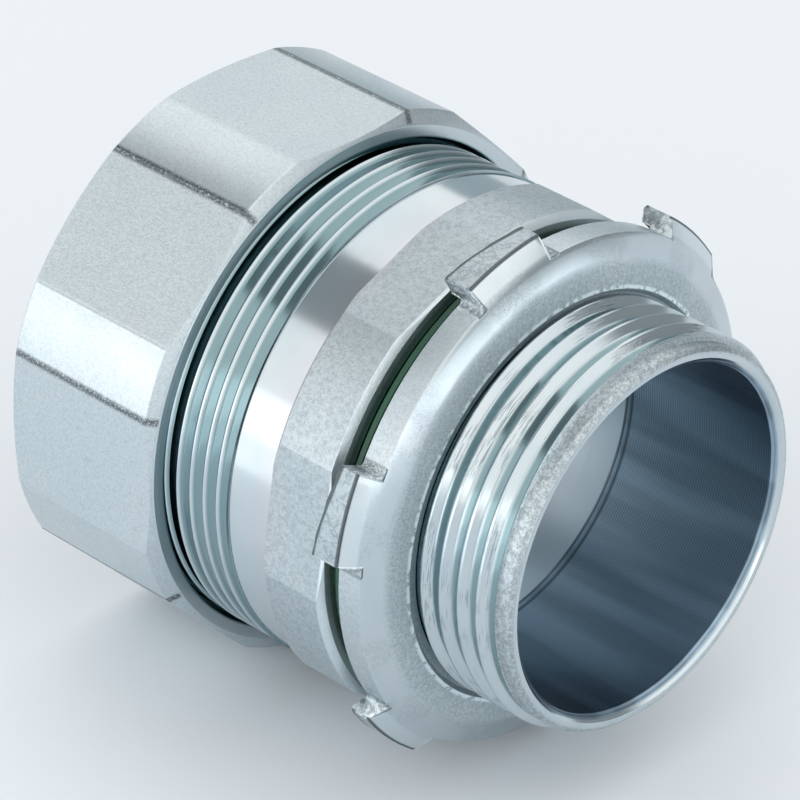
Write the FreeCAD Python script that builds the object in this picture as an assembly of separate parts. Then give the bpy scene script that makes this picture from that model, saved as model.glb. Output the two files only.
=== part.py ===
import FreeCAD, Part
import math
import os

# Compression connector for 1 1/4 inch rigid conduit, lying on its side. Millimetres and degrees.
# The axis is X and the nose, which goes through the wall of a box, points to +X.
# The origin is on the axis, in the plane of the collar's front face, where the box wall seats.
# Angles about the axis start at +Y and grow towards +Z.

# Conduit and fits
CONDUIT_R = 21.08            # outside of the conduit that the connector grips
CONDUIT_PLAY = 0.37          # room round the conduit in the body's socket
ENTRY_PLAY = 0.52            # room round the conduit where it enters the gland nut
THREAD_PLAY = 0.15           # room between the crests of a thread and the bore of its nut
SEAL_PLAY = 0.3              # room between the nose thread and the sealing ring
CONE_GAP = 0.3               # gap across two cones that close on each other
FACE_GAP = 0.1               # gap between flat faces that close on each other

# Nose
NOSE_OVER_CONDUIT = 0.02     # the nose thread's crests stand this far above the conduit
NOSE_WALL = 2.65             # from the crests to the throat
NOSE_LENGTH = 18.5           # from the collar's face to the rim
LEAD_IN = 2.1                # length of the plain band between the rim and the thread
LEAD_IN_DROP = 0.8           # the plain band lies this far below the crests
RIM_OUTER_CHAMFER = 0.45
RIM_CHAMFER = 0.75           # inner edge of the rim
STOP_DEPTH = 1.7             # from the collar's face back to the conduit stop

# Collar and shoulder
COLLAR_SIDES = 6
COLLAR_LENGTH = 7.9
COLLAR_OVER_SHOULDER = 0.17  # the collar's flats stand this far above the shoulder
COLLAR_FLAT_ANGLE = 30.0     # how much of the turn a flat takes; the turned corners take the rest
COLLAR_CORNER_AT = 22.0      # place of one corner round the axis
COLLAR_CHAMFER = 0.85        # how far the front chamfer comes in from the corners
COLLAR_CHAMFER_SLOPE = 30.0  # of the front chamfer, from the collar's face
COLLAR_REAR_CHAMFER = 0.5
SHOULDER_LENGTH = 5.4
SHOULDER_UNDER_THREAD = 0.2  # the shoulder lies this far below the thread's crests

# Rear thread and the body's mouth
BODY_WALL = 4.85             # from the socket to the crests of the rear thread
REAR_THREAD_LENGTH = 18.0
REAR_THREAD_DEPTH = 1.05
MOUTH_LIP = 1.3              # flat end of the body, between the thread's roots and the mouth
CONE_ANGLE = 30.0            # slope of the mouth and of the compression ring, from the axis

# Compression ring
RING_PLAY = 0.45             # room round the conduit before the nut is tightened
RING_EDGE = 0.9              # thickness of the ring at its thin ends
RING_OVER_MOUTH = 0.2        # the ring's largest radius is this much more than the mouth's
RING_LAND = 1.0              # plain band between the ring's two cones
RING_SPLIT = 3.0             # width of the slit that lets the ring close
RING_SPLIT_AT = 90.0

# Gland nut
NUT_SIDES = 8
NUT_CORNER_AT = 22.5         # place of one corner round the axis
NUT_LENGTH = 20.2
THREAD_SHOWN = 8.5           # length of rear thread between the shoulder and the nut
NUT_WALL = 1.95              # from the threaded bore to a flat
NUT_FLAT_ANGLE = 30.5        # how much of the turn a flat takes; the turned corners take the rest
NUT_COUNTERSINK = 0.55       # widening of the bore at the nut's mouth
NUT_CHAMFER = 1.4            # how far the end chamfers come in from the corners
NUT_CHAMFER_SLOPE = 33.0     # of the end chamfers, from the end face
NUT_ENTRY_CHAMFER = 0.6
TIGHTENING = 1.2             # from the body's end to the step inside the nut

# Sealing ring
SEAL_THICKNESS = 2.6
SEAL_WIDTH = 4.5             # from its bore to its rim
SEAL_RIDGE = 0.25            # height of the ridge round the middle of its rim

# Locknut
LUGS = 6
LUG_REACH = 7.9              # from the bore to the tips of the lugs
LUG_AT = 43.3                # place of one lug round the axis
LUG_SETBACK = 1.55           # the lugs bend back past the bearing face
LUG_THICKNESS = 3.1
LUG_EDGE = 0.3               # chamfers at the tips
NOTCH_DEPTH = 2.05           # from the lug tips to the floor of a notch
NOTCH_ANGLE = 39.5           # how much of the turn the floor of a notch takes
NOTCH_FLARE = 1.0            # each side of a notch leans out by this angle
NOTCH_ROUND = 0.6            # inner corners of a notch
BEARING_WALL = 5.55          # from the bore to the bend where the bearing face ends
LOCKNUT_HEIGHT = 4.1         # at the raised lip round the bore
LIP_CHAMFER = 0.7
CROWN_WALL = 3.25            # from the bore to the outer edge of the gently sloped crown
CROWN_DROP = 0.4             # from the lip to that edge
BROW_DROP = 0.85             # from the lip to the brow, where the face turns down to the lugs

AXIS = FreeCAD.Vector(1, 0, 0)
ORIGIN = FreeCAD.Vector(0, 0, 0)

# Radii that follow from the conduit
SOCKET_R = CONDUIT_R + CONDUIT_PLAY
REAR_THREAD_R = SOCKET_R + BODY_WALL
SHOULDER_R = REAR_THREAD_R - SHOULDER_UNDER_THREAD
COLLAR_FLAT_R = SHOULDER_R + COLLAR_OVER_SHOULDER
COLLAR_R = COLLAR_FLAT_R / math.cos(math.radians(COLLAR_FLAT_ANGLE / 2))
FACE_R = COLLAR_R - COLLAR_CHAMFER
MOUTH_R = REAR_THREAD_R - REAR_THREAD_DEPTH - MOUTH_LIP
RING_R = CONDUIT_R + RING_PLAY
RING_OUTER_R = MOUTH_R + RING_OVER_MOUTH
NUT_BORE_R = REAR_THREAD_R + THREAD_PLAY
NUT_FLAT_R = NUT_BORE_R + NUT_WALL
NUT_R = NUT_FLAT_R / math.cos(math.radians(NUT_FLAT_ANGLE / 2))
ENTRY_R = CONDUIT_R + ENTRY_PLAY

# Radii of the nose and what sits on it
NOSE_THREAD_R = CONDUIT_R + NOSE_OVER_CONDUIT
THROAT_R = NOSE_THREAD_R - NOSE_WALL
LEAD_IN_R = NOSE_THREAD_R - LEAD_IN_DROP
SEAL_BORE_R = NOSE_THREAD_R + SEAL_PLAY
SEAL_R = SEAL_BORE_R + SEAL_WIDTH
LOCKNUT_BORE_R = NOSE_THREAD_R + THREAD_PLAY
LUG_R = LOCKNUT_BORE_R + LUG_REACH
BROW_R = LUG_R - NOTCH_DEPTH

# Places along the axis
SHOULDER_START = -COLLAR_LENGTH
SHOULDER_END = SHOULDER_START - SHOULDER_LENGTH
BODY_END = SHOULDER_END - REAR_THREAD_LENGTH
SEAL_FRONT = FACE_GAP + SEAL_THICKNESS
LOCKNUT_REAR = SEAL_FRONT + FACE_GAP


def cone_run(rise):
    """Length along the axis in which a closing cone changes its radius by rise."""
    return rise / math.tan(math.radians(CONE_ANGLE))


# The cones of the body, the ring and the nut lie on each other with the gap between them
CONE_CLEARANCE = CONE_GAP / math.cos(math.radians(CONE_ANGLE))
RING_LAND_START = BODY_END - cone_run(RING_OUTER_R - MOUTH_R + CONE_CLEARANCE)
RING_LAND_END = RING_LAND_START - RING_LAND
RING_TAPER = cone_run(RING_OUTER_R - RING_R - RING_EDGE)
NUT_STEP = BODY_END - TIGHTENING
NUT_CONE_R = RING_OUTER_R + CONE_CLEARANCE + (NUT_STEP - RING_LAND_END) * math.tan(math.radians(CONE_ANGLE))
NUT_FRONT = SHOULDER_END - THREAD_SHOWN


def at(x, r):
    """Point of a turned profile."""
    return FreeCAD.Vector(x, 0, r)


def turned(points):
    """Solid turned about the axis from a closed straight-sided profile."""
    outline = Part.makePolygon(points + points[:1])
    return Part.Face(outline).revolve(ORIGIN, AXIS, 360)


def prism(sides, flat_r, corner_at, start, length):
    """Regular prism about the axis, with one corner at the given angle."""
    corner_r = flat_r / math.cos(math.pi / sides)
    step = 360.0 / sides
    corners = []
    for i in range(sides):
        angle = math.radians(corner_at + i * step)
        corners.append(FreeCAD.Vector(start, corner_r * math.cos(angle), corner_r * math.sin(angle)))
    outline = Part.makePolygon(corners + corners[:1])
    return Part.Face(outline).extrude(AXIS * length)


def connector_body():
    """Turned body: nose, hexagonal collar, shoulder and rear thread, with a stepped bore."""
    nose = turned([
        at(-STOP_DEPTH, THROAT_R),
        at(NOSE_LENGTH - RIM_CHAMFER, THROAT_R),
        at(NOSE_LENGTH, THROAT_R + RIM_CHAMFER),
        at(NOSE_LENGTH, LEAD_IN_R - RIM_OUTER_CHAMFER),
        at(NOSE_LENGTH - RIM_OUTER_CHAMFER, LEAD_IN_R),
        at(NOSE_LENGTH - LEAD_IN, LEAD_IN_R),
        at(NOSE_LENGTH - LEAD_IN - LEAD_IN_DROP / 2, NOSE_THREAD_R),
        at(-STOP_DEPTH, NOSE_THREAD_R),
    ])
    return nose.fuse(collar()).fuse(barrel()).removeSplitter()


def collar():
    """Hexagon with turned corners, bored for the throat and the socket behind the conduit stop."""
    chamfer_depth = COLLAR_CHAMFER * math.tan(math.radians(COLLAR_CHAMFER_SLOPE))
    blank = turned([
        at(0, THROAT_R),
        at(0, FACE_R),
        at(-chamfer_depth, COLLAR_R),
        at(SHOULDER_START + COLLAR_REAR_CHAMFER, COLLAR_R),
        at(SHOULDER_START, COLLAR_R - COLLAR_REAR_CHAMFER),
        at(SHOULDER_START, SOCKET_R),
        at(-STOP_DEPTH, SOCKET_R),
        at(-STOP_DEPTH, THROAT_R),
    ])
    hexagon = prism(COLLAR_SIDES, COLLAR_FLAT_R, COLLAR_CORNER_AT, SHOULDER_START, COLLAR_LENGTH)
    return blank.common(hexagon)


def barrel():
    """Plain shoulder and rear thread round the socket, which opens in a cone for the ring."""
    return turned([
        at(SHOULDER_START, SOCKET_R),
        at(SHOULDER_START, SHOULDER_R),
        at(SHOULDER_END, SHOULDER_R),
        at(SHOULDER_END - SHOULDER_UNDER_THREAD, REAR_THREAD_R),
        at(BODY_END + REAR_THREAD_DEPTH, REAR_THREAD_R),
        at(BODY_END, REAR_THREAD_R - REAR_THREAD_DEPTH),
        at(BODY_END, MOUTH_R),
        at(BODY_END + cone_run(MOUTH_R - SOCKET_R), SOCKET_R),
    ])


def compression_ring():
    """Split ring with a cone at each end, which the nut squeezes onto the conduit."""
    ring = turned([
        at(RING_LAND_START + RING_TAPER, RING_R),
        at(RING_LAND_START + RING_TAPER, RING_R + RING_EDGE),
        at(RING_LAND_START, RING_OUTER_R),
        at(RING_LAND_END, RING_OUTER_R),
        at(RING_LAND_END - RING_TAPER, RING_R + RING_EDGE),
        at(RING_LAND_END - RING_TAPER, RING_R),
    ])
    length = ring.BoundBox.XLength
    slit = Part.makeBox(2 * length, RING_OUTER_R * 2, RING_SPLIT)
    slit.translate(FreeCAD.Vector(RING_LAND_END - RING_TAPER - length / 2, 0, -RING_SPLIT / 2))
    slit.rotate(ORIGIN, AXIS, RING_SPLIT_AT)
    return ring.cut(slit)


def gland_nut():
    """Octagon with turned corners, threaded from the front and coned inside at the rear."""
    rear = NUT_FRONT - NUT_LENGTH
    chamfer_depth = NUT_CHAMFER * math.tan(math.radians(NUT_CHAMFER_SLOPE))
    cone_end = NUT_STEP - cone_run(NUT_CONE_R - ENTRY_R)
    blank = turned([
        at(NUT_FRONT, NUT_BORE_R + NUT_COUNTERSINK),
        at(NUT_FRONT, NUT_R - NUT_CHAMFER),
        at(NUT_FRONT - chamfer_depth, NUT_R),
        at(rear + chamfer_depth, NUT_R),
        at(rear, NUT_R - NUT_CHAMFER),
        at(rear, ENTRY_R + NUT_ENTRY_CHAMFER),
        at(rear + NUT_ENTRY_CHAMFER, ENTRY_R),
        at(cone_end, ENTRY_R),
        at(NUT_STEP, NUT_CONE_R),
        at(NUT_STEP, NUT_BORE_R),
        at(NUT_FRONT - NUT_COUNTERSINK, NUT_BORE_R),
    ])
    return blank.common(prism(NUT_SIDES, NUT_FLAT_R, NUT_CORNER_AT, rear, NUT_LENGTH))


def sealing_ring():
    """Flat ring that seals the knockout, with a ridge round its rim."""
    return turned([
        at(FACE_GAP, SEAL_BORE_R),
        at(FACE_GAP, SEAL_R - SEAL_RIDGE),
        at(FACE_GAP + SEAL_THICKNESS / 2, SEAL_R),
        at(SEAL_FRONT, SEAL_R - SEAL_RIDGE),
        at(SEAL_FRONT, SEAL_BORE_R),
    ])


def locknut():
    """Dished steel locknut: a lip round the bore, a crowned face and lugs bent back to bite."""
    lip_front = LOCKNUT_REAR + LOCKNUT_HEIGHT
    lug_rear = LOCKNUT_REAR - LUG_SETBACK
    lug_front = lug_rear + LUG_THICKNESS
    blank = turned([
        at(lip_front, LOCKNUT_BORE_R + LIP_CHAMFER),
        at(lip_front - LIP_CHAMFER, LOCKNUT_BORE_R),
        at(LOCKNUT_REAR, LOCKNUT_BORE_R),
        at(LOCKNUT_REAR, LOCKNUT_BORE_R + BEARING_WALL),
        at(lug_rear, LUG_R - LUG_EDGE),
        at(lug_rear + LUG_EDGE, LUG_R),
        at(lug_front - LUG_EDGE, LUG_R),
        at(lug_front, LUG_R - LUG_EDGE),
        at(lip_front - BROW_DROP, BROW_R),
        at(lip_front - CROWN_DROP, LOCKNUT_BORE_R + CROWN_WALL),
    ])
    for i in range(LUGS):
        blank = blank.cut(notch(LUG_AT + (i + 0.5) * 360.0 / LUGS))
    return blank


def notch(middle):
    """Cutter for the notch between two lugs, with flared sides and rounded inner corners."""
    floor_r = BROW_R
    outer_r = LUG_R + NOTCH_DEPTH
    half_floor = NOTCH_ANGLE / 2
    half_outer = half_floor + NOTCH_FLARE
    start = LOCKNUT_REAR - LUG_SETBACK - 1

    def on(radius, angle):
        turn = math.radians(middle + angle)
        return FreeCAD.Vector(start, radius * math.cos(turn), radius * math.sin(turn))

    outline = Part.Wire([
        Part.Arc(on(floor_r, -half_floor), on(floor_r, 0), on(floor_r, half_floor)).toShape(),
        Part.LineSegment(on(floor_r, half_floor), on(outer_r, half_outer)).toShape(),
        Part.Arc(on(outer_r, half_outer), on(outer_r, 0), on(outer_r, -half_outer)).toShape(),
        Part.LineSegment(on(outer_r, -half_outer), on(floor_r, -half_floor)).toShape(),
    ])
    cutter = Part.Face(outline).extrude(AXIS * (LOCKNUT_HEIGHT + LUG_SETBACK + 2))
    inner_edges = [e for e in cutter.Edges if runs_along_axis_at(e, floor_r)]
    return cutter.makeFillet(NOTCH_ROUND, inner_edges)


def runs_along_axis_at(edge, radius):
    """Whether an edge is parallel to the axis and lies at the radius."""
    ends = [v.Point for v in edge.Vertexes]
    if len(ends) < 2:
        return False
    level = all(abs(math.hypot(p.y, p.z) - radius) < 0.01 for p in ends)
    return level and abs(ends[0].x - ends[1].x) > 1


NODES = {
    "connector_body": connector_body,
    "sealing_ring": sealing_ring,
    "locknut": locknut,
    "compression_ring": compression_ring,
    "gland_nut": gland_nut,
}

os.makedirs("parts", exist_ok=True)
for name, make in NODES.items():
    make().exportStep("parts/" + name + ".step")
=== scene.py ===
import math
from types import SimpleNamespace

import bpy
from mathutils import Matrix, Vector


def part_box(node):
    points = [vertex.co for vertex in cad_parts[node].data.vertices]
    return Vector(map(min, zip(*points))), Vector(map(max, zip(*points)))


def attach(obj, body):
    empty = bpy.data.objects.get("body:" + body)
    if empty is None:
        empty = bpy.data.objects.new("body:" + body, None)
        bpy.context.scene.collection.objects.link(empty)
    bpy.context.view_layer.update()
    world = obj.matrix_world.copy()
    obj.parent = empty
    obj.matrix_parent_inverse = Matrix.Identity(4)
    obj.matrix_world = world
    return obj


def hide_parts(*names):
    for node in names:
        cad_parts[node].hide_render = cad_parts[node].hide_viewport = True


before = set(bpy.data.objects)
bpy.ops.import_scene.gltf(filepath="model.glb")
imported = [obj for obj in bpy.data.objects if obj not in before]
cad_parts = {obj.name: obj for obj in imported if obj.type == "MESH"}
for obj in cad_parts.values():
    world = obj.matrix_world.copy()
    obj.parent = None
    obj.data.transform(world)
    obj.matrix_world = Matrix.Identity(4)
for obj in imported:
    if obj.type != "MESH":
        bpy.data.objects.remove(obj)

bl_info = {
    "name": "Compression conduit connector",
    "version": (1, 0, 0),
    "blender": (4, 5, 0),
    "location": "3D View > Sidebar > Connector",
    "description": "Models a compression connector for rigid conduit, with its locknut and sealing ring",
    "category": "Add Mesh",
}

MM = 0.001
AXIS = Vector((1, 0, 0))
SEGMENTS = 192                   # steps of a full turn about the axis

# Rear edge of one crest of each thread, above the axis, in millimetres
CREST_AT = {"nose": 14.197, "rear": -15.408}

# Radii and reaches in millimetres
NOSE_R = 21.1                    # crests of the nose thread
BAND_R = 20.3                    # plain band between the rim and the thread
THROAT_R = 18.45
SOCKET_R = 21.45
SHOULDER_R = 26.1
REAR_R = 26.3                    # crests of the rear thread
COLLAR_R = 27.2                  # turned corners of the collar
COLLAR_FLAT_R = 26.27
NUT_R = 29.44                    # turned corners of the gland nut
NUT_FLAT_R = 28.4
LUG_R = 29.15                    # tips of the lugs
BROW_R = 27.1                    # floor of the notches, where the dome turns down to the lugs
SEAL_BORE_R = 21.4

# Angles about the axis in degrees
COLLAR_FLAT_AT = 52.0
LUG_AT = 43.3
LUG_HALF = 10.6                  # from the middle of a lug to its end
NOTCH_HALF = 19.75               # from the middle of a notch's floor to its end


# Sizes and colours

def length(name, description, mm):
    """Length property whose default is given in millimetres."""
    return bpy.props.FloatProperty(
        name=name, description=description, default=mm * MM, unit="LENGTH", subtype="DISTANCE", precision=5)


def colour(name, description, rgb):
    """Colour property."""
    return bpy.props.FloatVectorProperty(
        name=name, description=description, default=rgb, subtype="COLOR", size=3, min=0, max=1)


def ends(node):
    """Rear and front end of a node of the frame along the axis, in millimetres."""
    low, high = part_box(node)
    return round(low[0] / MM, 3), round(high[0] / MM, 3)


class ThreadSizes(bpy.types.PropertyGroup):
    """Threads of the nose and of the gland nut's end."""
    nose_pitch: length("Nose pitch", "Rise of the nose thread in one turn", 2.42)
    nose_depth: length("Nose depth", "Crest to root on the nose", 0.85)
    nose_crest: length("Nose crest", "Width of the nose thread's crest", 0.28)
    nose_flank: length("Nose flank", "Run along the axis of one flank on the nose", 0.6)
    rear_pitch: length("Rear pitch", "Rise of the rear thread in one turn", 1.85)
    rear_depth: length("Rear depth", "Crest to root on the rear thread", 0.38)
    rear_crest: length("Rear crest", "Width of the rear thread's crest", 0.15)
    rear_flank: length("Rear flank", "Run along the axis of one flank on the rear thread", 0.36)


class FinishColours(bpy.types.PropertyGroup):
    """Colours of the plating and the seal."""
    plate: colour("Plating", "Bright zinc plate", (0.56, 0.63, 0.665))
    # plate_shade colours greener, darker patches of the plate, and also the painted shade lines and creases
    # on the locknut.
    plate_shade: colour("Plating in shade", "Greener, darker patches of the plate", (0.44, 0.535, 0.59))
    plate_blush: colour("Blush", "Faint pink of a thicker passivation", (0.62, 0.55, 0.60))
    # root is greener plating, darkened to stand for painted shade in the thread roots, inside the gland nut
    # and on grains round the locknut's bore.
    root: colour("Thread roots", "Greener plating between the crests", (0.15, 0.26, 0.285))
    bore: colour("Bore", "Turned metal inside the nose", (0.30, 0.41, 0.51))
    seal: colour("Seal", "Green sealing ring", (0.012, 0.055, 0.032))
    floor: colour("Floor", "Pale floor", (0.72, 0.765, 0.81))


class StudioSizes(bpy.types.PropertyGroup):
    """Camera and floor."""
    camera_at: bpy.props.FloatVectorProperty(
        name="Camera", description="Place of the camera", default=(0.27741, -0.30939, 0.26637),
        subtype="TRANSLATION", unit="LENGTH", size=3)
    camera_turn: bpy.props.FloatVectorProperty(
        name="Camera turn", description="Turn of the camera", subtype="EULER", unit="ROTATION", size=3,
        default=tuple(math.radians(a) for a in (58.0818, -0.9732, 44.0347)))
    lens: bpy.props.FloatProperty(name="Lens", description="Focal length", default=225.0, unit="CAMERA")
    floor_at: length("Floor height", "Height of the floor, under the lowest lug", -29.12)


# Modelling

def select_only(piece):
    """Makes the piece the only selected and the active object."""
    bpy.ops.object.select_all(action="DESELECT")
    piece.select_set(True)
    bpy.context.view_layer.objects.active = piece


def edit(piece, mode="VERT"):
    """Opens the piece in edit mode with nothing selected."""
    select_only(piece)
    bpy.ops.object.mode_set(mode="EDIT")
    bpy.ops.mesh.select_mode(type=mode)
    bpy.ops.mesh.select_all(action="DESELECT")


def close_edit():
    """Leaves edit mode."""
    bpy.ops.object.mode_set(mode="OBJECT")


def draw(name, points, closed=True):
    """Wire through the points, each (x, y, z) in millimetres, drawn one edge at a time."""
    bpy.ops.object.select_all(action="DESELECT")
    start = Vector(points[0]) * MM
    bpy.ops.mesh.primitive_plane_add(size=MM, location=start)
    piece = bpy.context.object
    piece.name = piece.data.name = name
    bpy.ops.object.mode_set(mode="EDIT")
    bpy.ops.mesh.merge(type="CENTER")
    at = start
    for point in list(points[1:]) + list(points[:1]) * closed:
        to = Vector(point) * MM
        bpy.ops.mesh.extrude_region_move(TRANSFORM_OT_translate={"value": to - at})
        at = to
    bpy.ops.mesh.select_all(action="SELECT")
    bpy.ops.mesh.remove_doubles(threshold=1e-6)
    bpy.ops.object.mode_set(mode="OBJECT")
    bpy.ops.object.transform_apply(location=True, rotation=True, scale=True)
    return piece


def eased(corners, step=8.5):
    """Outline whose corners (a, b, radius) are rounded in steps of that many degrees at most."""
    out = []
    count = len(corners)
    for i, (a, b, radius) in enumerate(corners):
        here = Vector((a, b))
        back = Vector(corners[i - 1][:2]) - here
        on = Vector(corners[(i + 1) % count][:2]) - here
        if radius == 0 or back.length == 0 or on.length == 0:
            out.append((a, b))
            continue
        opening = back.angle(on)
        reach = min(radius / math.tan(opening / 2), 0.49 * back.length, 0.49 * on.length)
        radius = reach * math.tan(opening / 2)
        back.normalize()
        on.normalize()
        centre = here + (back + on).normalized() * (radius / math.sin(opening / 2))
        first, last = here + back * reach - centre, here + on * reach - centre
        parts = max(1, math.ceil(math.degrees(math.pi - opening) / step))
        sweep = first.angle_signed(last)
        for k in range(parts + 1):
            spoke = first.copy()
            spoke.rotate(Matrix.Rotation(-sweep * k / parts, 2))
            out.append(tuple(centre + spoke))
    return out


def profile(name, corners):
    """Closed outline in the plane above the axis, from corners (x, radius, rounding) in millimetres."""
    return draw(name, [(x, 0, r) for x, r in eased(corners)])


def apply(piece, modifier):
    """Applies one modifier."""
    select_only(piece)
    bpy.ops.object.modifier_apply(modifier=modifier.name)


def outward(piece):
    """Merges doubles and turns every face outwards."""
    edit(piece)
    bpy.ops.mesh.select_all(action="SELECT")
    bpy.ops.mesh.remove_doubles(threshold=1e-6)
    bpy.ops.mesh.normals_make_consistent(inside=False)
    close_edit()


def close_holes(piece, gap=2e-5):
    """Closes the slits that a cut has left open, by merging their edges or by filling them."""
    edit(piece)
    bpy.ops.mesh.select_non_manifold(extend=False)
    bpy.ops.mesh.remove_doubles(threshold=gap)
    bpy.ops.mesh.select_all(action="SELECT")
    bpy.ops.mesh.delete_loose(use_verts=True, use_edges=True, use_faces=False)
    bpy.ops.mesh.select_all(action="DESELECT")
    bpy.ops.mesh.select_non_manifold(
        extend=False, use_wire=False, use_boundary=True, use_multi_face=False, use_non_contiguous=False,
        use_verts=False)
    bpy.ops.mesh.fill_holes(sides=0)
    close_edit()


def turn(piece, sweep=2 * math.pi):
    """Turns an outline about the axis, all the way round or through the sweep, with its ends closed."""
    whole_turn = sweep == 2 * math.pi
    screw = piece.modifiers.new("Turn", "SCREW")
    screw.axis = "X"
    screw.angle = sweep
    screw.steps = screw.render_steps = SEGMENTS
    screw.use_merge_vertices = whole_turn
    screw.merge_threshold = 1e-6
    apply(piece, screw)
    if not whole_turn:
        edit(piece)
        bpy.ops.mesh.select_non_manifold(extend=False)
        bpy.ops.mesh.edge_face_add()
        close_edit()
    outward(piece)
    return piece


def combine(piece, tool, how):
    """Cuts the tool out of the piece, or unites the two; the tool is used up."""
    boolean = piece.modifiers.new(how, "BOOLEAN")
    boolean.operation = how
    boolean.solver = "EXACT"
    boolean.object = tool
    apply(piece, boolean)
    bpy.data.objects.remove(tool, do_unlink=True)
    return piece


def flat(piece, reach, at_angle):
    """Planes a flat across the piece at that distance from the axis, facing that angle."""
    edit(piece)
    bpy.ops.mesh.select_all(action="SELECT")
    facing = Vector((0, math.cos(at_angle), math.sin(at_angle)))
    bpy.ops.mesh.bisect(
        plane_co=facing * reach, plane_no=facing, use_fill=True, clear_outer=True, threshold=1e-7)
    close_edit()


def break_edges(piece, width, limit):
    """Small bevel along every edge sharper than the limit."""
    bevel = piece.modifiers.new("Edges", "BEVEL")
    bevel.width = width
    bevel.segments = 2
    bevel.limit_method = "ANGLE"
    bevel.angle_limit = limit
    apply(piece, bevel)


def smooth(piece, limit=math.radians(12)):
    """Shades the piece smooth, except across sharper edges."""
    select_only(piece)
    bpy.ops.object.shade_smooth_by_angle(angle=limit)


def turned_about_axis(piece, turn_by):
    """Turns the piece about the axis and fixes that in its mesh."""
    piece.rotation_euler = (turn_by, 0, 0)
    select_only(piece)
    bpy.ops.object.transform_apply(location=True, rotation=True, scale=True)
    return piece


def rod_between(piece, start, end):
    """Trims a helical skin square at both ends and closes it there."""
    for place, facing in ((start, -AXIS), (end, AXIS)):
        edit(piece)
        bpy.ops.mesh.select_all(action="SELECT")
        bpy.ops.mesh.bisect(
            plane_co=AXIS * place, plane_no=facing, use_fill=True, clear_outer=True, threshold=1e-7)
        close_edit()
    outward(piece)
    return piece


def threaded_rod(name, crest_r, depth, crest, flank, pitch, rounding, crest_at, start, end):
    """Right-handed threaded rod, with its sizes and places in millimetres.

    A crest's rear edge passes crest_at above the axis. The outline is one pitch long and starts
    in the middle of a root, so that the turns meet on a plain face.
    """
    root = pitch - crest - 2 * flank
    corners = [
        (0, crest_r, rounding), (crest, crest_r, rounding), (crest + flank, crest_r - depth, rounding),
        (crest + flank + root, crest_r - depth, rounding),
    ]
    wave = eased([(x + pitch * k, r, rounding) for k in (-1, 0, 1) for x, r, rounding in corners], step=14)
    first = crest + flank + root / 2
    between = [(x, r) for x, r in wave if first + 1e-6 < x < first + pitch - 1e-6]
    run = [(first, crest_r - depth)] + between + [(first + pitch, crest_r - depth)]
    turns_before = math.ceil((crest_at - start) / pitch) + 2
    shift = crest_at - turns_before * pitch
    rod = draw(name, [(x + shift, 0, r) for x, r in run], closed=False)
    screw = rod.modifiers.new("Helix", "SCREW")
    screw.axis = "X"
    screw.steps = screw.render_steps = SEGMENTS
    screw.screw_offset = pitch * MM
    screw.iterations = turns_before + math.ceil((end - crest_at) / pitch) + 2
    apply(rod, screw)
    edit(rod)
    bpy.ops.mesh.select_all(action="SELECT")
    bpy.ops.mesh.remove_doubles(threshold=2e-6)
    close_edit()
    return rod_between(rod, start * MM, end * MM)


def rod_like(which, name, crest_r, rounding, start, end, wider=0.0, setback=0.0):
    """Rod with the nose or the rear thread. A tap for its nut has wider crests, set back along the axis."""
    sizes = bpy.context.scene.connector_threads
    depth, crest, flank, pitch = [
        getattr(sizes, which + part) / MM for part in ("_depth", "_crest", "_flank", "_pitch")]
    return threaded_rod(
        name, crest_r, depth, crest + wider, flank, pitch, rounding, CREST_AT[which] - setback, start, end)


def finish_piece(piece, body, node, material):
    """Gives the piece its finish and its body, and hides the CAD node that it stands for."""
    piece.data.materials.clear()
    piece.data.materials.append(material)
    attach(piece, body)
    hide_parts(node)


# Shader arithmetic

class Flow:
    """Value that flows between shader nodes. Arithmetic on it adds Math nodes."""

    def __init__(self, tree, socket=None):
        self.tree = tree
        self.socket = socket

    def node(self, kind, settings=None, sockets=None, output=0):
        """New node of that type, its settings made first and then its sockets filled or linked."""
        made = self.tree.nodes.new("ShaderNode" + kind)
        for key, value in (settings or {}).items():
            setattr(made, key, value)
        for key, value in (sockets or {}).items():
            if isinstance(value, Flow):
                self.tree.links.new(value.socket, made.inputs[key])
            else:
                made.inputs[key].default_value = value
        return Flow(self.tree, made.outputs[output])

    def maths(self, operation, *values):
        return self.node("Math", {"operation": operation}, dict(enumerate(values)))

    def __add__(self, other):
        return self.maths("ADD", self, other)

    def __radd__(self, other):
        return self.maths("ADD", other, self)

    def __sub__(self, other):
        return self.maths("SUBTRACT", self, other)

    def __rsub__(self, other):
        return self.maths("SUBTRACT", other, self)

    def __mul__(self, other):
        return self.maths("MULTIPLY", self, other)

    def __rmul__(self, other):
        return self.maths("MULTIPLY", other, self)

    def __truediv__(self, other):
        return self.maths("DIVIDE", self, other)

    def fraction(self):
        """What is left above the next lower whole number."""
        return self.maths("FRACT", self)

    def most(self, other):
        """The larger of the two."""
        return self.maths("MAXIMUM", self, other)

    def step(self, low, high):
        """0 below low and 1 above high, eased between; falls instead where high is less than low."""
        sockets = {0: self, 1: low, 2: high, 3: 0.0, 4: 1.0}
        return self.node("MapRange", {"interpolation_type": "SMOOTHSTEP"}, sockets)

    def split(self):
        """The three parts of a vector."""
        parts = self.tree.nodes.new("ShaderNodeSeparateXYZ")
        self.tree.links.new(self.socket, parts.inputs[0])
        return [Flow(self.tree, out) for out in parts.outputs]

    def vector(self, x, y, z):
        return self.node("CombineXYZ", None, {0: x, 1: y, 2: z})

    def tint(self, mask, under, over):
        """Colour under, with colour over it where the mask is 1."""
        return self.node("Mix", {"data_type": "RGBA"}, {0: mask, 6: under, 7: over}, output=2)

    def noise(self, at, scale, detail=2.0, roughness=0.5, distortion=0.0):
        return self.node("TexNoise", None, {
            "Vector": at, "Scale": scale, "Detail": detail, "Roughness": roughness, "Distortion": distortion})


def rgba(rgb, factor=1.0):
    return tuple(c * factor for c in rgb) + (1.0,)


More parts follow.
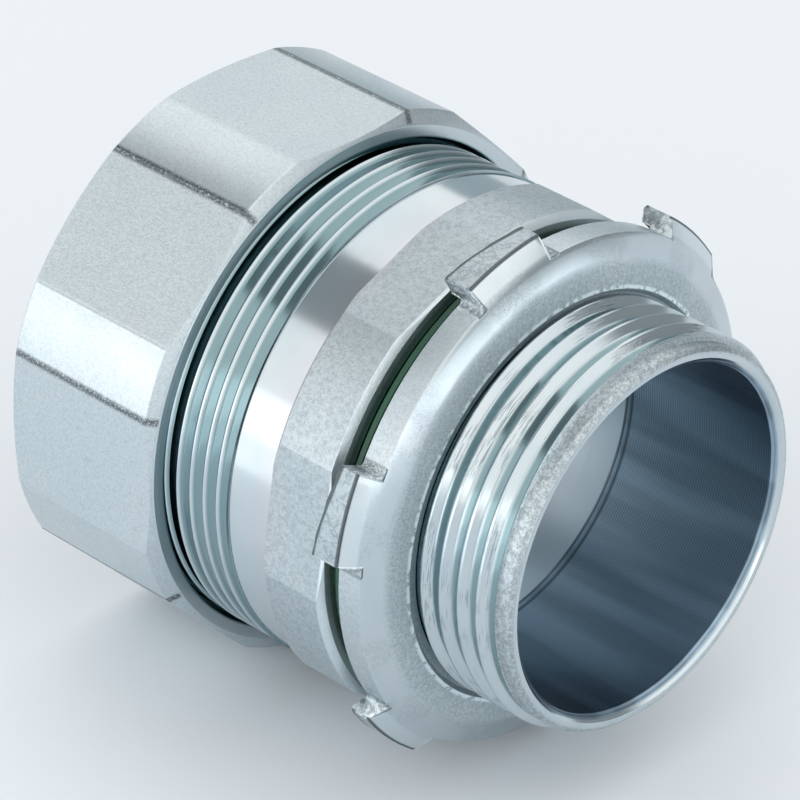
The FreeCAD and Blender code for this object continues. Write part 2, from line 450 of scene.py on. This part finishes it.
def new_material(name):
    """Empty node material with its surface shader, and the flow that builds on it."""
    material = bpy.data.materials.new(name)
    material.use_nodes = True
    tree = material.node_tree
    shader = tree.nodes["Principled BSDF"]
    return material, shader, Flow(tree)


def fill(flow, shader, **sockets):
    """Fills or links the surface shader's sockets."""
    for key, value in sockets.items():
        socket = shader.inputs[key.replace("_", " ")]
        if isinstance(value, Flow):
            flow.tree.links.new(value.socket, socket)
        else:
            socket.default_value = value


def axis_places(flow):
    """Object coordinates as a vector, and as the place along the axis, the radius and the angle."""
    place = flow.node("TexCoord", None, None, output=3)
    x, y, z = place.split()
    radius = flow.maths("SQRT", y * y + z * z)
    around = flow.maths("ARCTAN2", z, y)
    return place, x, radius, around


def plating(flow, place, colours):
    """Cloudy zinc plate: pale, with greener clouds and a faint blush."""
    clouds = flow.noise(place, 90.0, 3.0, 0.55).step(0.38, 0.66)
    blush = flow.noise(place, 55.0, 2.0, 0.5, 0.6).step(0.62, 0.78)
    tone = flow.tint(clouds * 0.4, rgba(colours.plate), rgba(colours.plate_shade))
    return flow.tint(blush * 0.25, tone, rgba(colours.plate_blush)), clouds


def grain_of(flow, place, scale):
    """Fine grain mixed with a coarser one."""
    return flow.noise(place, scale * 1.4, 2.0, 0.6) * 0.65 + flow.noise(place, scale * 0.5, 2.0, 0.5) * 0.35


def bump_of(flow, height, strength=0.6, distance=0.00006):
    """Normal of a surface with that height."""
    return flow.node("Bump", None, {"Strength": strength, "Distance": distance, "Height": height})


def turned_finish(name, colours):
    """Plated turned metal with fine rings about the axis."""
    material, shader, flow = new_material(name)
    place, x, radius, around = axis_places(flow)
    tone, clouds = plating(flow, place, colours)
    rings = flow.noise(flow.vector(x, radius, around * 0.0004), 5200.0, 2.0, 0.6)
    bump = bump_of(flow, rings, 0.5, 0.00005)
    fill(flow, shader, Base_Color=tone, Metallic=1.0, Normal=bump, Roughness=0.17 + clouds * 0.05)
    return material


def blasted_finish(name, colours):
    """Gland nut: finely blasted flats between turned corners that have a dark line at one edge, and painted
    shade inside its mouth and thread.
    """
    material, shader, flow = new_material(name)
    place, x, radius, around = axis_places(flow)
    tone, clouds = plating(flow, place, colours)
    grains = grain_of(flow, place, 6200.0)
    outside = radius.step(0.0281, 0.0283)
    corner = radius.step(0.02932, 0.02938)
    in_eighth = (around * (4 / math.pi) + 4.5).fraction() * 45.0
    edge = in_eighth.step(6.1, 7.0) * in_eighth.step(8.6, 7.6) * outside
    on_flat = outside * (1.0 - corner)
    # The nut's mouth and inner thread, where painted shade goes.
    inside = radius.step(0.0270, 0.0268) * x.step(-0.0398, -0.0388)
    pits = flow.noise(place, 1100.0, 2.0, 0.5).step(0.62, 0.72)
    tone = flow.tint(outside * 0.6, tone, rgba(colours.plate, 1.1))
    tone = flow.tint(grains.step(0.42, 0.62) * outside * 0.3, tone, rgba(colours.plate_shade, 0.5))
    tone = flow.tint(edge * grains.step(0.34, 0.50) * 0.85, tone, rgba(colours.plate_shade, 0.16))
    tone = flow.tint(pits * on_flat * 0.12, tone, rgba(colours.plate_shade, 0.4))
    # Painted shade: the mouth and inner thread are darkened with the greener root colour.
    tone = flow.tint(inside, tone, rgba(colours.root, 1.1))
    bump = bump_of(flow, grains * (on_flat * 0.6 + 0.4))
    fill(flow, shader, Base_Color=tone, Metallic=1.0, Normal=bump,
         Roughness=0.28 + clouds * 0.05 + grains * on_flat * 0.12)
    return material


def locknut_zones(flow, x, radius, around):
    """Masks of the locknut's parts: 1 on the part named and 0 away from it."""
    from_middle = around * (3 / math.pi) - math.radians(LUG_AT) * (3 / math.pi)
    lug_phase = from_middle.fraction()
    from_lug = flow.maths("MINIMUM", lug_phase, 1.0 - lug_phase) * 60.0
    along_lug = ((lug_phase + 0.5).fraction() * 60.0 - (30.0 - LUG_HALF)) / (2 * LUG_HALF)
    unbent = x + along_lug.step(0.0, 1.0) * 0.00115
    on_rim = x.step(0.0034, 0.0031) * radius.step(0.0275, 0.0280)
    on_floor = radius.step(0.0269, 0.0270) * radius.step(0.0273, 0.0272) * x.step(0.00545, 0.00535)
    return SimpleNamespace(
        side=from_lug.step(9.2, 9.9) * from_lug.step(12.6, 11.6) * radius.step(0.0269, 0.0271),
        tip=radius.step(0.02895, 0.02905).most(on_rim),
        floor=on_floor * from_lug.step(9.9, 10.3),
        ring=radius.step(0.0252, 0.0240) * x.step(0.0058, 0.0062),
        front=radius.step(0.0273, 0.0277) * x.step(0.0039, 0.0041),
        # Painted shade: a dark line along the crisp front edge of the lug tips.
        front_edge_shade=radius.step(0.0288, 0.0290) * x.step(0.0037, 0.0039) * x.step(0.0042, 0.0041),
        # Painted shadow: a dark line along the lug tips' rear edge.
        rear_edge=unbent.step(0.00235, 0.00215) * radius.step(0.0288, 0.0290),
        # Painted highlight on the ragged burr round the bore's front edge.
        burr_highlight=radius.step(0.0217, 0.0218) * radius.step(0.0223, 0.0220) * x.step(0.0065, 0.0066))


def pressed_finish(name, colours):
    """Pressed locknut: bright dome, grainy ring round the bore, grainy notch floors and torn lug sides, with
    painted shade in the creases and at the tips' edges and a painted highlight on the burr.
    """
    material, shader, flow = new_material(name)
    place, x, radius, around = axis_places(flow)
    tone, clouds = plating(flow, place, colours)
    on = locknut_zones(flow, x, radius, around)
    grains = grain_of(flow, place, 5200.0)
    patch = flow.noise(place, 130.0, 2.0, 0.5).step(0.50, 0.62)
    torn = flow.noise(place, 900.0, 4.0, 0.65, 1.2)
    # Painted shade: dark lines in the creases of the torn lug sides.
    crease_shade = torn.step(0.38, 0.46) * torn.step(0.56, 0.49)
    veins = flow.noise(place, 700.0, 3.0, 0.6, 0.8)
    ragged = flow.noise(place, 1400.0, 2.0, 0.5).step(0.40, 0.50)
    rough = on.floor.most(on.ring).most((on.tip * 0.35).most(on.side))
    shade = grains.step(0.42, 0.6) * rough.most(patch) * 0.3
    tone = flow.tint(shade, tone, rgba(colours.plate_shade, 0.5))
    vein = veins.step(0.42, 0.48) * veins.step(0.54, 0.49)
    tone = flow.tint(on.tip * vein * 0.5 + on.tip * 0.3, tone, rgba(colours.plate_shade, 0.6))
    # Grains round the bore tinted with the dark root colour: partly grain and partly a painted dark
    # reflection of the nose.
    tone = flow.tint(on.ring * grains.step(0.40, 0.60) * 0.16, tone, rgba(colours.root))
    tone = flow.tint(on.front * 0.8, tone, rgba(colours.plate, 1.14))
    # Painted shade and shadow: dark lines along the front and rear edges of the lug tips.
    tone = flow.tint(on.front_edge_shade.most(on.rear_edge) * 0.9, tone, rgba(colours.plate_shade, 0.2))
    # Painted highlight: the ragged burr at the bore is made much lighter.
    tone = flow.tint(on.burr_highlight * ragged, tone, rgba(colours.plate, 1.4))
    tone = flow.tint(on.side * crease_shade * 0.6, tone, rgba(colours.plate_shade, 0.25))
    bump = bump_of(
        flow, grains * (rough * 0.8 + patch * 0.25 + 0.06) + torn * on.side * 7.0 + veins * on.tip * 5.0)
    dull = grains * rough * 0.35 + on.ring * 0.24 + patch * 0.05 + on.tip * 0.18
    fill(flow, shader, Base_Color=tone, Metallic=1.0, Normal=bump, Roughness=0.17 + clouds * 0.06 + dull)
    return material


def thread_phase(x, around, pitch, crest_at):
    """Place within one turn of a right-handed thread, 0 at the rear edge of the crest and 1 at the next."""
    return ((x - crest_at) / pitch - (around - math.pi / 2) / (2 * math.pi)).fraction()


def body_zones(x, radius):
    """Masks of the body's parts: 1 on the part named and 0 away from it."""
    # Dark lines of painted shade at the bore's inner step.
    near_stop = x.step(-0.00035, -0.00045) * x.step(-0.00080, -0.00070)
    past_stop = x.step(-0.0011, -0.0012) * x.step(-0.0017, -0.0016)
    return SimpleNamespace(
        collar=x.step(-0.0081, -0.0079) * x.step(0.0002, 0.0) * radius.step(0.0250, 0.0255),
        # The collar's front chamfer, where a painted highlight goes.
        lip=x.step(-0.0006, -0.0004) * x.step(0.0002, 0.0) * radius.step(0.0255, 0.0258),
        band=x.step(0.0165, 0.0169) * radius.step(0.0195, 0.0200),
        nose=x.step(0.0170, 0.0166) * x.step(0.0000, 0.0004) * radius.step(0.0196, 0.0200),
        rear=x.step(-0.0131, -0.0134) * radius.step(0.0240, 0.0250),
        shoulder=x.step(-0.0120, -0.0085) * x.step(-0.0062, -0.0078),
        bore=radius.step(0.0190, 0.0188),
        socket=radius.step(0.0220, 0.0218) * x.step(-0.0015, -0.0018),
        stop=near_stop + past_stop)


def body_finish(name, colours, sizes):
    """Plating of the turned body: grainy collar with a painted highlight on its front chamfer, smooth
    shoulder, roots darkened by painted shade and a dark turned bore with painted shade at its inner step.
    """
    material, shader, flow = new_material(name)
    place, x, radius, around = axis_places(flow)
    on = body_zones(x, radius)
    clouds = flow.noise(place, 110.0, 3.0, 0.55).step(0.36, 0.68)
    grains = flow.noise(place, 5600.0, 3.0, 0.6) * 0.6 + flow.noise(place, 1900.0, 2.0, 0.5) * 0.4
    nose = thread_phase(x, around, sizes.nose_pitch, CREST_AT["nose"] * MM)
    rear = thread_phase(x, around, sizes.rear_pitch, CREST_AT["rear"] * MM)
    # The thread roots get greener plating, darkened as painted shade.
    nose_root = nose.step(0.30, 0.52) * nose.step(0.96, 0.80) * on.nose
    rear_root = rear.step(0.10, 0.24) * rear.step(0.99, 0.86) * on.rear
    # Painted shade: a dark line at the foot of each rear crest.
    rear_foot_shade = rear.step(0.90, 0.93) * rear.step(0.99, 0.97) * on.rear
    cut_lines = flow.maths("SINE", x * (2 * math.pi / 0.0003) + flow.noise(place, 300.0, 1.0) * 3.0)
    broad = flow.noise(flow.vector(x, radius, around * 0.0004), 1500.0, 2.0, 0.5)
    streak = flow.noise(flow.vector(around * 0.006, x * 0.03, 0.0), 620.0, 2.0, 0.5).step(0.40, 0.60)
    worn = flow.noise(place, 140.0, 2.0, 0.5).step(0.46, 0.60)
    scored = flow.noise(flow.vector(x, 0.0, around * 0.0008), 9000.0, 2.0, 0.5).step(0.50, 0.60)
    worn_crest = (1.0 - nose_root) * on.nose * worn
    tone = flow.tint(clouds * 0.4, rgba(colours.plate), rgba(colours.plate_shade))
    tone = flow.tint(on.shoulder * 0.25, tone, rgba(colours.plate_blush))
    shade = grains.step(0.42, 0.62) * on.collar * 0.4 + on.collar * 0.25
    tone = flow.tint(shade, tone, rgba(colours.plate_shade, 0.6))
    # Painted highlight: the collar's front chamfer is made lighter.
    tone = flow.tint(on.lip * 0.8, tone, rgba(colours.plate, 1.35))
    # Painted shade: the thread roots are tinted with the dark, greener root colour.
    tone = flow.tint(nose_root * 0.85 + rear_root * 0.85, tone, rgba(colours.root))
    # Painted shade along the feet of the rear crests.
    tone = flow.tint(rear_foot_shade, tone, rgba(colours.root, 0.3))
    specks = on.band * grains.step(0.42, 0.58) * 0.5 + on.band * 0.1
    tone = flow.tint(specks, tone, rgba(colours.plate_shade, 0.35))
    tone = flow.tint(worn_crest * scored * 0.45, tone, rgba(colours.plate_shade, 0.35))
    tone = flow.tint(on.bore, tone, rgba(colours.bore))
    lines = on.bore * (cut_lines * 0.28 + 0.24 + streak * 0.5)
    tone = flow.tint(lines, tone, rgba(colours.bore, 0.45))
    tone = flow.tint(on.socket * 0.4, tone, rgba(colours.bore))
    # Painted shade: dark lines at the bore's inner step.
    tone = flow.tint(on.stop * on.bore * 0.8, tone, rgba(colours.bore, 0.2))
    grain_height = grains * (on.collar * 1.3 + on.band * 1.2 + (on.nose + on.rear) * worn * 0.3)
    line_height = scored * worn_crest * 0.25 + cut_lines * (on.bore * 0.22)
    bump = bump_of(flow, grain_height + line_height + broad * 0.2)
    grain_rough = grains * (on.collar * 0.35 + on.band * 0.5) + on.collar * 0.12
    fill(flow, shader, Base_Color=tone, Metallic=1.0, Normal=bump,
         Roughness=0.13 + clouds * 0.05 + grain_rough + on.bore * 0.17 + on.socket * 0.15)
    return material


def rubber(name, colours):
    """Moulded green sealing ring, slightly shiny, with a dusty skin."""
    material, shader, flow = new_material(name)
    place = axis_places(flow)[0]
    speck = flow.noise(place, 1500.0, 3.0, 0.6)
    cloud = flow.noise(place, 160.0, 2.0, 0.5).step(0.35, 0.7)
    tone = flow.tint(cloud * 0.5, rgba(colours.seal), rgba(colours.seal, 1.9))
    bump = bump_of(flow, speck, 0.4, 0.00005)
    fill(flow, shader, Base_Color=tone, Normal=bump, Roughness=0.38 + speck * 0.2)
    return material


# Pieces

class CONNECTOR_OT_body(bpy.types.Operator):
    """Turned body: threaded nose, hexagonal collar, shoulder, rear thread and bore"""
    bl_idname = "connector.body"
    bl_label = "Connector body"

    def execute(self, context):
        end, rim = ends("connector_body")
        body = turn(profile("turned_body", [
            (rim, 19.2, 0.15), (rim, 19.85, 0.18), (rim - 0.45, BAND_R, 0.3), (16.95, BAND_R, 0.05),
            (16.45, NOSE_R + 0.3, 0.1), (-0.6, NOSE_R + 0.3, 0),
            (-0.6, SHOULDER_R, 0), (-13.3, SHOULDER_R, 0.05),
            (-13.5, REAR_R + 0.3, 0), (end + 1.35, REAR_R + 0.3, 0.1),
            (end, 25.25, 0.2), (end, 23.95, 0.15), (-26.97, SOCKET_R, 0.4), (-1.7, SOCKET_R, 0.2),
            (-1.7, THROAT_R + 0.3, 0.05), (-1.4, THROAT_R, 0.15), (rim - 0.75, THROAT_R, 0.3),
        ]))
        combine(body, threaded_core(), "INTERSECT")
        close_holes(body)
        collar = turned_collar()
        select_only(body)
        collar.select_set(True)
        bpy.ops.object.join()
        outward(body)
        close_holes(body)
        smooth(body)
        scene = context.scene
        finish_piece(body, "body", "connector_body",
                     body_finish("plated_body", scene.connector_colours, scene.connector_threads))
        return {"FINISHED"}


def threaded_core():
    """Solid core with both threads on it; what it shares with the turned blank is the body."""
    core = turn(profile("core", [(19.0, 5.0, 0), (19.0, 20.6, 0), (17.2, 20.6, 0), (17.2, 5.0, 0)]))
    trunk = [(-0.3, 4.0, 0), (-0.3, 26.4, 0), (-13.4, 26.4, 0), (-13.4, 4.0, 0)]
    combine(core, rod_like("nose", "nose_thread", NOSE_R, 0.25, -1.0, 17.5), "UNION")
    combine(core, turn(profile("trunk", trunk)), "UNION")
    combine(core, rod_like("rear", "rear_thread", REAR_R, 0.16, -32.5, -13.0), "UNION")
    return core


def turned_collar():
    """Ring of the collar, with six flats planed into it."""
    collar = turn(profile("collar", [
        (0, 19.8, 0), (0, 26.35, 0.12), (-0.49, COLLAR_R, 0.15), (-7.4, COLLAR_R, 0.12), (-7.9, 26.7, 0.12),
        (-7.9, 25.0, 0), (-1.4, 25.0, 0), (-1.4, 19.8, 0),
    ]))
    for i in range(6):
        flat(collar, COLLAR_FLAT_R * MM, math.radians(COLLAR_FLAT_AT + 60 * i))
    outward(collar)
    return collar


class CONNECTOR_OT_seal(bpy.types.Operator):
    """Green sealing ring in front of the collar"""
    bl_idname = "connector.seal"
    bl_label = "Sealing ring"

    def execute(self, context):
        back, face = ends("sealing_ring")
        seal = turn(profile("moulded_seal", [
            (back, SEAL_BORE_R, 0.1), (back, 24.7, 0.1), (0.62, 24.7, 0.1), (0.75, 25.55, 0.1),
            (0.9, 25.75, 0.1), (1.5, 25.8, 0.08), (1.6, 25.55, 0.03), (1.7, 25.85, 0.08), (2.45, 25.9, 0.15),
            (face, 25.6, 0.1), (face, SEAL_BORE_R, 0.1),
        ]))
        smooth(seal)
        finish_piece(seal, "seal", "sealing_ring",
                     rubber("seal_rubber", context.scene.connector_colours))
        return {"FINISHED"}


class CONNECTOR_OT_locknut(bpy.types.Operator):
    """Dished locknut with six lugs bent back towards the box wall"""
    bl_idname = "connector.locknut"
    bl_label = "Locknut"

    def execute(self, context):
        face = ends("locknut")[1]
        nut = turn(profile("lugged_locknut", [
            (face, 21.75, 0.12), (6.45, 21.3, 0.05), (6.3, 20.3, 0.1), (3.2, 20.3, 0.05), (2.8, 21.4, 0.1),
            (2.8, 26.8, 0.8), (1.75, LUG_R - 0.4, 0.15), (1.95, LUG_R, 0.1), (3.95, LUG_R, 0.05),
            (5.5, BROW_R, 4.0), (6.5, 24.5, 7.0),
        ]))
        for i in range(6):
            combine(nut, notch_cutter(math.radians(LUG_AT + 30 + 60 * i)), "DIFFERENCE")
        bend_lugs(nut)
        break_edges(nut, 0.12 * MM, math.radians(26))
        combine(nut, rod_like("nose", "tap", NOSE_R + 0.12, 0.2, 0.0, 9.0, 0.16, 0.08), "DIFFERENCE")
        outward(nut)
        close_holes(nut)
        smooth(nut, math.radians(24))
        finish_piece(nut, "locknut", "locknut",
                     pressed_finish("pressed_plate", context.scene.connector_colours))
        return {"FINISHED"}


def bend_lugs(nut, parts=8, bend=1.15):
    """Bends the rear edge of each lug back, more and more towards one end, so that it bites into the wall."""
    step = 2 * LUG_HALF / parts
    for i in range(6):
        for k in range(parts):
            start = LUG_AT + 60 * i - LUG_HALF + step * k
            edit(nut)
            close_edit()
            for vertex in nut.data.vertices:
                x, y, z = vertex.co
                past_start = (math.degrees(math.atan2(z, y)) - start) % 360
                on_rear_edge = math.hypot(y, z) > 27.4 * MM and x < 3.0 * MM
                vertex.select = on_rear_edge and past_start < step
            bpy.ops.object.mode_set(mode="EDIT")
            bpy.ops.transform.translate(value=(-bend * MM * (k + 1) / parts, 0, 0))
            close_edit()


def notch_cutter(middle):
    """Cutter for one notch between two lugs, with a curved floor and rounded inner corners."""
    def on(radius, degrees):
        way = middle + math.radians(degrees)
        return radius * math.cos(way), radius * math.sin(way)
    floor = [on(BROW_R, NOTCH_HALF * (k / 6 - 1)) for k in range(13)]
    roof = [on(32.0, 21.5), on(32.0, -21.5)]
    corners = [(*floor[0], 0.6)] + [(*point, 0) for point in floor[1:-1]] + [(*floor[-1], 0.6)]
    corners += [(*point, 0) for point in roof]
    cutter = draw("notch", [(0, a, b) for a, b in eased(corners)])
    edit(cutter)
    bpy.ops.mesh.select_all(action="SELECT")
    bpy.ops.mesh.edge_face_add()
    bpy.ops.mesh.extrude_region_move(TRANSFORM_OT_translate={"value": (9 * MM, 0, 0)})
    close_edit()
    outward(cutter)
    return cutter


class CONNECTOR_OT_ring(bpy.types.Operator):
    """Split compression ring inside the gland nut"""
    bl_idname = "connector.ring"
    bl_label = "Compression ring"

    def execute(self, context):
        ring = profile("split_ring", [
            (-29.27, 21.53, 0.1), (-29.27, 22.43, 0.15), (-32.25, 24.15, 0.3), (-33.25, 24.15, 0.3),
            (-36.22, 22.43, 0.15), (-36.22, 21.53, 0.1),
        ])
        turn(ring, sweep=math.radians(352.6))
        turned_about_axis(ring, math.radians(3.7))
        smooth(ring)
        finish_piece(ring, "ring", "compression_ring",
                     turned_finish("turned_ring", context.scene.connector_colours))
        return {"FINISHED"}


class CONNECTOR_OT_gland_nut(bpy.types.Operator):
    """Octagonal gland nut with turned corners, threaded inside"""
    bl_idname = "connector.gland_nut"
    bl_label = "Gland nut"

    def execute(self, context):
        end, mouth = ends("gland_nut")
        nut = turn(profile("octagonal_nut", [
            (mouth, 26.72, 0.1), (mouth, 28.04, 0.15), (mouth - 0.9, NUT_R, 0.2), (end + 0.9, NUT_R, 0.2),
            (end, 28.04, 0.15), (end, 22.2, 0.2), (-41.4, 21.6, 0.2), (-38.26, 21.6, 0.2), (-32.5, 24.93, 0),
            (-32.5, 25.98, 0.1), (-23.9, 25.98, 0.1), (-23.2, 26.66, 0.1),
        ]))
        for i in range(8):
            flat(nut, NUT_FLAT_R * MM, math.radians(45 * i))
        combine(nut, rod_like("rear", "tap", REAR_R + 0.12, 0.14, -32.2, -20.0, 0.12, 0.06), "DIFFERENCE")
        outward(nut)
        smooth(nut)
        finish_piece(nut, "nut", "gland_nut",
                     blasted_finish("blasted_plate", context.scene.connector_colours))
        return {"FINISHED"}


# Stage

class CONNECTOR_OT_stage(bpy.types.Operator):
    """Pale floor, soft studio light and the camera"""
    bl_idname = "connector.stage"
    bl_label = "Stage"

    def execute(self, context):
        scene = context.scene
        studio = scene.connector_studio
        bpy.ops.object.select_all(action="DESELECT")
        bpy.ops.mesh.primitive_plane_add(size=6.0, location=(0, 0, studio.floor_at))
        floor = context.object
        floor.name = "floor"
        material, shader, flow = new_material("pale_floor")
        fill(flow, shader, Base_Color=rgba(scene.connector_colours.floor), Roughness=0.8)
        floor.data.materials.append(material)

        bpy.ops.object.camera_add(location=studio.camera_at, rotation=studio.camera_turn)
        camera = context.object
        camera.data.lens = studio.lens
        camera.data.sensor_width = 36
        camera.data.clip_start = 0.01
        scene.camera = camera

        scene.view_settings.view_transform = "Standard"
        studio_light(scene)
        return {"FINISHED"}


def studio_light(scene):
    """World of a soft white tent with a grey gap, as directions about the axis, and two low white cards."""
    world = scene.world or bpy.data.worlds.new("studio")
    scene.world = world
    world.use_nodes = True
    tree = world.node_tree
    flow = Flow(tree)
    way = flow.node("TexCoord", None, None, output=0)
    x, y, z = way.split()
    turn_about = flow.maths("ARCTAN2", z, y) * (180 / math.pi)
    gap = turn_about.step(88.5, 91.0) * turn_about.step(126.0, 124.0) * x.step(-0.25, -0.40)
    right = turn_about.step(42.0, 28.0) * x.step(-0.3, -0.1)
    tent = turn_about.step(28.0, 32.0)
    shade = tree.nodes["Background"]
    shade.inputs["Color"].default_value = (0.80, 0.94, 1.0, 1.0)
    shade.inputs["Strength"].default_value = 0.55
    white = flow.node("Background", None, {"Color": (1.0, 0.985, 0.965, 1.0), "Strength": 1.32})
    dark = flow.node("Background", None, {"Color": (0.90, 0.97, 1.0, 1.0), "Strength": 0.37})
    lit = flow.node("MixShader", None, {0: tent, 1: Flow(tree, shade.outputs[0]), 2: white})
    surface = flow.node("MixShader", None, {0: gap.most(right), 1: lit, 2: dark})
    tree.links.new(surface.socket, tree.nodes["World Output"].inputs["Surface"])
    add_card("front_card", (0.25, 0.06, 0.005), (0, math.radians(90), 0), 0.068, 0.36, 0.076)
    add_card("side_card", (-0.05, -0.15, 0.0155), (math.radians(90), 0, 0), 0.30, 0.088, 0.056)


def add_card(name, place, turn_by, width, height, energy):
    """Low white card, as a rectangular lamp that the camera doesn't see."""
    bpy.ops.object.light_add(type="AREA", location=place, rotation=turn_by)
    card = bpy.context.object
    card.name = name
    card.data.shape = "RECTANGLE"
    card.data.size, card.data.size_y = width, height
    card.data.energy = energy
    card.visible_camera = False


class CONNECTOR_PT_panel(bpy.types.Panel):
    """Sizes, colours and the steps that model the connector"""
    bl_label = "Conduit connector"
    bl_idname = "CONNECTOR_PT_panel"
    bl_space_type = "VIEW_3D"
    bl_region_type = "UI"
    bl_category = "Connector"

    def draw(self, context):
        scene = context.scene
        for group in (scene.connector_threads, scene.connector_colours, scene.connector_studio):
            box = self.layout.box()
            for key in group.__annotations__:
                box.prop(group, key)
        for step in STEPS:
            self.layout.operator(step.bl_idname)


STEPS = (
    CONNECTOR_OT_body, CONNECTOR_OT_seal, CONNECTOR_OT_locknut, CONNECTOR_OT_ring, CONNECTOR_OT_gland_nut,
    CONNECTOR_OT_stage)
GROUPS = {
    "connector_threads": ThreadSizes,
    "connector_colours": FinishColours,
    "connector_studio": StudioSizes,
}


def register():
    for group in GROUPS.values():
        bpy.utils.register_class(group)
    for name, group in GROUPS.items():
        setattr(bpy.types.Scene, name, bpy.props.PointerProperty(type=group))
    for step in STEPS + (CONNECTOR_PT_panel,):
        bpy.utils.register_class(step)


def unregister():
    for step in (CONNECTOR_PT_panel,) + STEPS[::-1]:
        bpy.utils.unregister_class(step)
    for name, group in GROUPS.items():
        delattr(bpy.types.Scene, name)
        bpy.utils.unregister_class(group)


def main():
    """Registers the add-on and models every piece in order."""
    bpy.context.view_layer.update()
    register()
    for step in STEPS:
        group, name = step.bl_idname.split(".")
        getattr(getattr(bpy.ops, group), name)()


if __name__ == "__main__":
    main()
